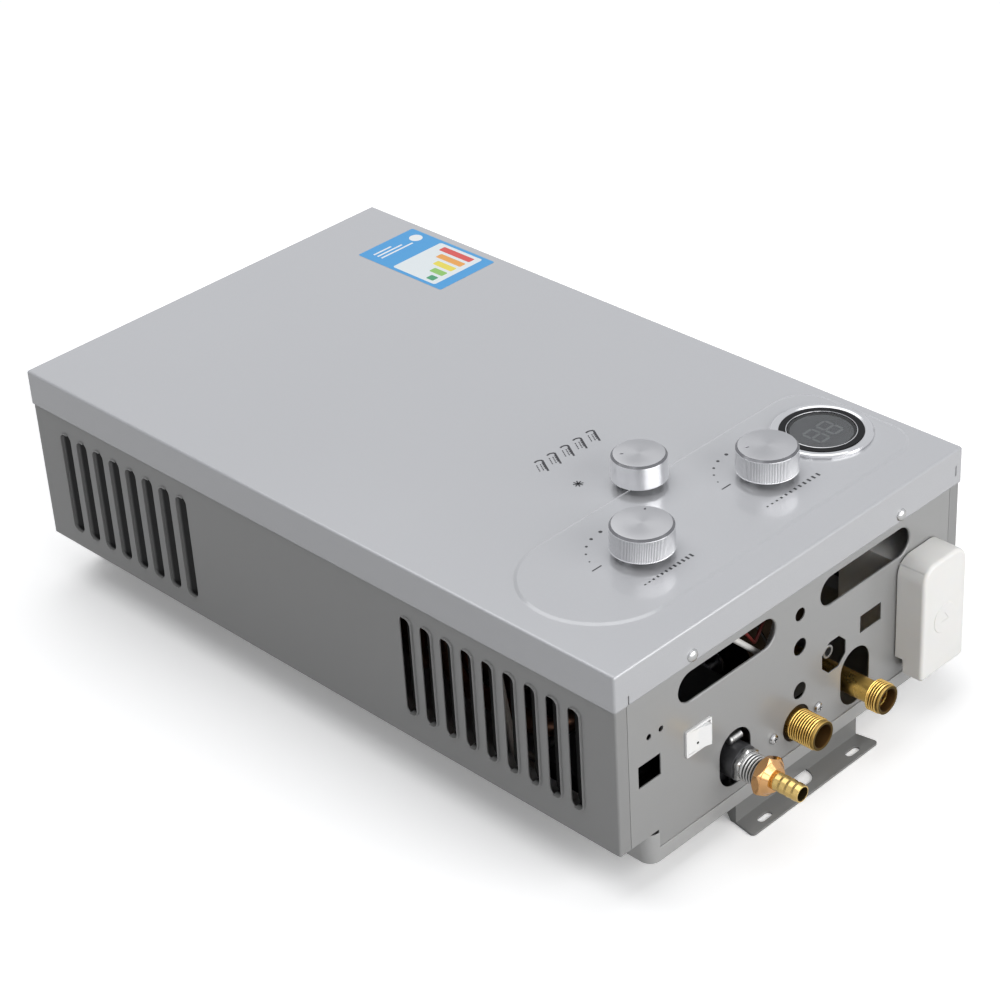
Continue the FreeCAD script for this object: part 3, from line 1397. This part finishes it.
def battery_contacts():
    """Coil-like contact cups at the inner end of the cells."""
    y0 = at(battery_near + 1.0) + cell_l
    y1 = at(battery_near + cell_l + 6.0) - battery_wall
    return [turned_y(battery_x, z, [(3.0, y0 + 0.2), (4.0, y0 + 0.2), (7.0, y1 - 0.5), (9.0, y1 - 0.5),
                                    (9.0, y1),
                                    (3.0, y1)]) for z in cell_places()]


def battery_lid():
    """Moulded cap over the cells, with a round mark that shows which way to pull."""
    x0 = battery_x - lid_w / 2
    x1 = battery_x + lid_w / 2
    y0 = at(-lid_reach)
    y1 = at(-0.1)
    cap = box(x0, x1, y0, y1, lid_z0, lid_z1)
    cap = cap.makeFillet(lid_corner_r, [e for e in edges_along(cap, V(0, 1, 0))
                                        if e.Vertexes[0].Z > battery_z])
    cap = cap.makeFillet(lid_foot_r, [e for e in edges_along(cap, V(0, 1, 0))
                                      if e.Vertexes[0].Z < lid_z0 + 0.1])
    cap = cap.makeFillet(lid_front_r, edges_at_y(cap, y0))
    cx0, cx1, cz0, cz1 = case_section(battery_wall + lid_gap)
    cutters = [box(cx0, cx1, at(battery_near - lid_gap), y1 + 1, cz0, cz1),
               box(x0 - 1, x0 + lid_notch_w, at(-lid_notch_reach), y1 + 1, lid_z0 - 1,
                   lid_z0 + lid_notch_h)]
    front = y0 - lid_mark_h
    mark_z = battery_z - lid_mark_drop
    boss = rod_y(battery_x, mark_z, lid_mark_r, front, y0 + 1)
    boss = boss.makeFillet(lid_mark_h * 0.8, edges_at_y(boss, front))
    tip = V(battery_x, front - 1, mark_z + 4)
    foot = [V(battery_x + side * 4, front - 1, mark_z - 2) for side in (-1, 1)]
    arrow = Part.Face(Part.makePolygon([tip, foot[0], foot[1], tip])).extrude(V(0, 1 + lid_mark_h * 0.8, 0))
    return less(merged(cap, boss), arrow, *cutters)


# ---- rocker switch -----------------------------------------------------------------------------------
def rocker_axis_y():
    return at(face_depth + 2.6)


def switch_housing():
    y0 = at(face_depth - switch_rim)
    y1 = at(face_depth)
    rim = rounded_y(switch_x - switch_w / 2, switch_x + switch_w / 2, switch_z - switch_h / 2,
                    switch_z + switch_h / 2, 1.2, y0, y1)
    body = box(switch_x - switch_body_w / 2, switch_x + switch_body_w / 2, y1, y1 + switch_body_l,
               switch_z - switch_body_h / 2, switch_z + switch_body_h / 2)
    half_x = switch_body_w / 2 - switch_wall / 2
    half_z = switch_body_h / 2 - switch_wall
    space = box(switch_x - half_x, switch_x + half_x, y0 - 1, y1 + 10, switch_z - half_z, switch_z + half_z)
    pin = rod_z(switch_x, rocker_axis_y(), rocker_pin_r + 0.08, switch_z - half_z - 0.5,
                switch_z + half_z + 0.5)
    blades = [box(switch_x + x - 0.4, switch_x + x + 0.4, y1 + switch_body_l - 1, y1 + switch_body_l + 7,
                  switch_z - 2.4, switch_z + 2.4) for x in (-5.0, 5.0)]
    return merged(less(merged(rim, body), space, pin), *blades)


def switch_rocker():
    """Paddle with two slanting halves, tilted so that its right half stands out."""
    axis_y = rocker_axis_y()
    half_z = switch_body_h / 2 - switch_wall - rocker_gap_z
    outline = [(-rocker_half_w, -5.6), (0, -4.4), (rocker_half_w, -5.6), (rocker_half_w - 1.0, -0.6),
               (0, 2.6),
               (-rocker_half_w + 1.0, -0.6)]
    points = [V(switch_x + x, axis_y + y, switch_z - half_z) for x, y in outline]
    paddle = Part.Face(Part.makePolygon(points + points[:1])).extrude(V(0, 0, 2 * half_z))
    pin = rod_z(switch_x, axis_y, rocker_pin_r, switch_z - half_z - rocker_gap_z - 0.4,
                switch_z + half_z + rocker_gap_z + 0.4)
    lamp = rod_y(switch_x - lamp_shift, switch_z - lamp_drop, 0.9, axis_y - 8, axis_y - 4.0)
    rocker = less(merged(paddle, pin), lamp)
    rocker.rotate(V(switch_x, axis_y, switch_z), V(0, 0, 1), -rocker_tilt)
    return rocker


# ---- display -----------------------------------------------------------------------------------------
def display_bezel():
    """Chrome ring with a rounded section, standing on the raised panel."""
    y = at(display_depth)
    z0 = raise_z
    z1 = raise_z + bezel_h
    inner = ring_r + 0.1
    return turned_z(display_x, y, [(inner, z0), (bezel_r, z0), (bezel_r, z0 + bezel_h * 0.5),
                                   (bezel_r - 0.8, z0 + bezel_h * 0.82), (bezel_r - 2.0, z1),
                                   (inner + 1.6, z1), (inner, z1 - 0.7)])


def display_frame():
    """Black ring and cup that carries the lens through the hole in the cover."""
    y = at(display_depth)
    top = raise_z + bezel_h - 0.4
    lens_z = top - lens_sink
    seat = lens_z - lens_t
    foot = raise_under - display_body_h + 2.2
    r_in = display_cup_r - display_cup_wall
    return turned_z(display_x, y, [(lens_r - 2.0, seat - 1.2), (lens_r - 2.0, seat), (lens_r + 0.1, seat),
                                   (lens_r + 0.1, top), (ring_r, top), (ring_r, raise_z - 0.5),
                                   (display_cup_r, raise_z - 0.5), (display_cup_r, foot), (r_in, foot),
                                   (r_in, seat - 1.2)])


def display_lens():
    y = at(display_depth)
    z1 = raise_z + bezel_h - 0.4 - lens_sink
    lens = rod_z(display_x, y, lens_r, z1 - lens_t, z1)
    return lens.makeChamfer(0.4, [e for e in edges_at_z(lens, z1) if len(e.Vertexes) == 1])


def display_module():
    """Housing under the cover with the circuit board and the segment glass."""
    y = at(display_depth)
    z1 = raise_under - 0.1
    z0 = z1 - display_body_h
    seat = raise_z + bezel_h - 0.4 - lens_sink - lens_t
    cup = turned_z(display_x, y, [(0, z0), (display_body_r, z0), (display_body_r, z1),
                                  (display_cup_r + 0.3, z1),
                                  (display_cup_r + 0.3, z0 + 2), (0, z0 + 2)])
    board = box(display_x - 16, display_x + 16, y - 12, y + 12, z0 + 2, seat - 1.5)
    return merged(cup, board)


# ---- knobs and spindles ------------------------------------------------------------------------------
def knob(x, depth, r, mark_deg):
    """A turned knob, hollow below, with a hub for the spindle and a sunk pointer mark."""
    y = at(depth)
    profile = [(spindle_r, knob_z0 + 1.0), (knob_hub_r, knob_z0 + 1.0), (knob_hub_r, knob_z1 - knob_cap),
               (r - knob_wall, knob_z1 - knob_cap), (r - knob_wall, knob_z0), (r + knob_flare, knob_z0),
               (r, knob_z1 - knob_chamfer), (r - knob_chamfer, knob_z1), (0, knob_z1), (0, spindle_top),
               (spindle_r, spindle_top)]
    body = turned_z(x, y, profile)
    reach = r - mark_inset
    run = (mark_len - mark_w) / 2
    z0 = knob_z1 - mark_sink
    mark = merged(box(x + reach - run, x + reach + run, y - mark_w / 2, y + mark_w / 2, z0, knob_z1 + 1),
                  rod_z(x + reach - run, y, mark_w / 2, z0, knob_z1 + 1),
                  rod_z(x + reach + run, y, mark_w / 2, z0, knob_z1 + 1))
    mark.rotate(V(x, y, 0), V(0, 0, 1), mark_deg)
    return less(body, mark)


def spindle(x, depth):
    """Round spindle from its gland up into the knob."""
    return rod_z(x, at(depth), spindle_r, gland_z - gland_depth + 1.0, spindle_top)


# ---- write every piece -------------------------------------------------------------------------------
def save(name, shape):
    solids = shape if isinstance(shape, list) else [shape]
    whole = solids[0] if len(solids) == 1 else Part.makeCompound(solids)
    whole.exportStep("parts/" + name + ".step")


os.makedirs("parts", exist_ok=True)
for piece in (front_cover, bottom_end_panel, top_end_panel, back_panel, lower_wall_bracket, cover_screws,
              valve_screws, chassis_screws, cold_inlet_fitting, hot_outlet_fitting, hot_outlet_pipe,
              cold_feed_pipe, water_coil, exchanger_tubes, exchanger_shell, exchanger_fins,
              combustion_chamber,
              flue_hood, flue_collar, burner_frame, burner_bars, mounting_stands, gas_manifold, gas_nozzles,
              gas_valve_body, gas_inlet_nipple, gas_union_nut, hose_barb, water_valve_body, diaphragm,
              water_valve_cover, push_rod, gas_poppet, microswitch, microswitch_lever, drain_port,
              pulse_igniter,
              ignition_electrodes, ignition_leads, panel_leads, overheat_thermostat, battery_case,
              battery_cells,
              battery_contacts, battery_lid, switch_housing, switch_rocker, display_bezel, display_frame,
              display_lens, display_module):
    save(piece.__name__, piece())

side = left_side_panel()
save("left_side_panel", side)
save("right_side_panel", mirror_x(side))
save("upper_wall_bracket", mirror_ends(lower_wall_bracket()))

marks = {"gas": gas_mark_deg, "water": water_mark_deg, "season": season_mark_deg}
for name, x, depth, r in knob_places():
    save(name + "_knob", knob(x, depth, r, marks[name]))
    save(name + "_spindle", spindle(x, depth))
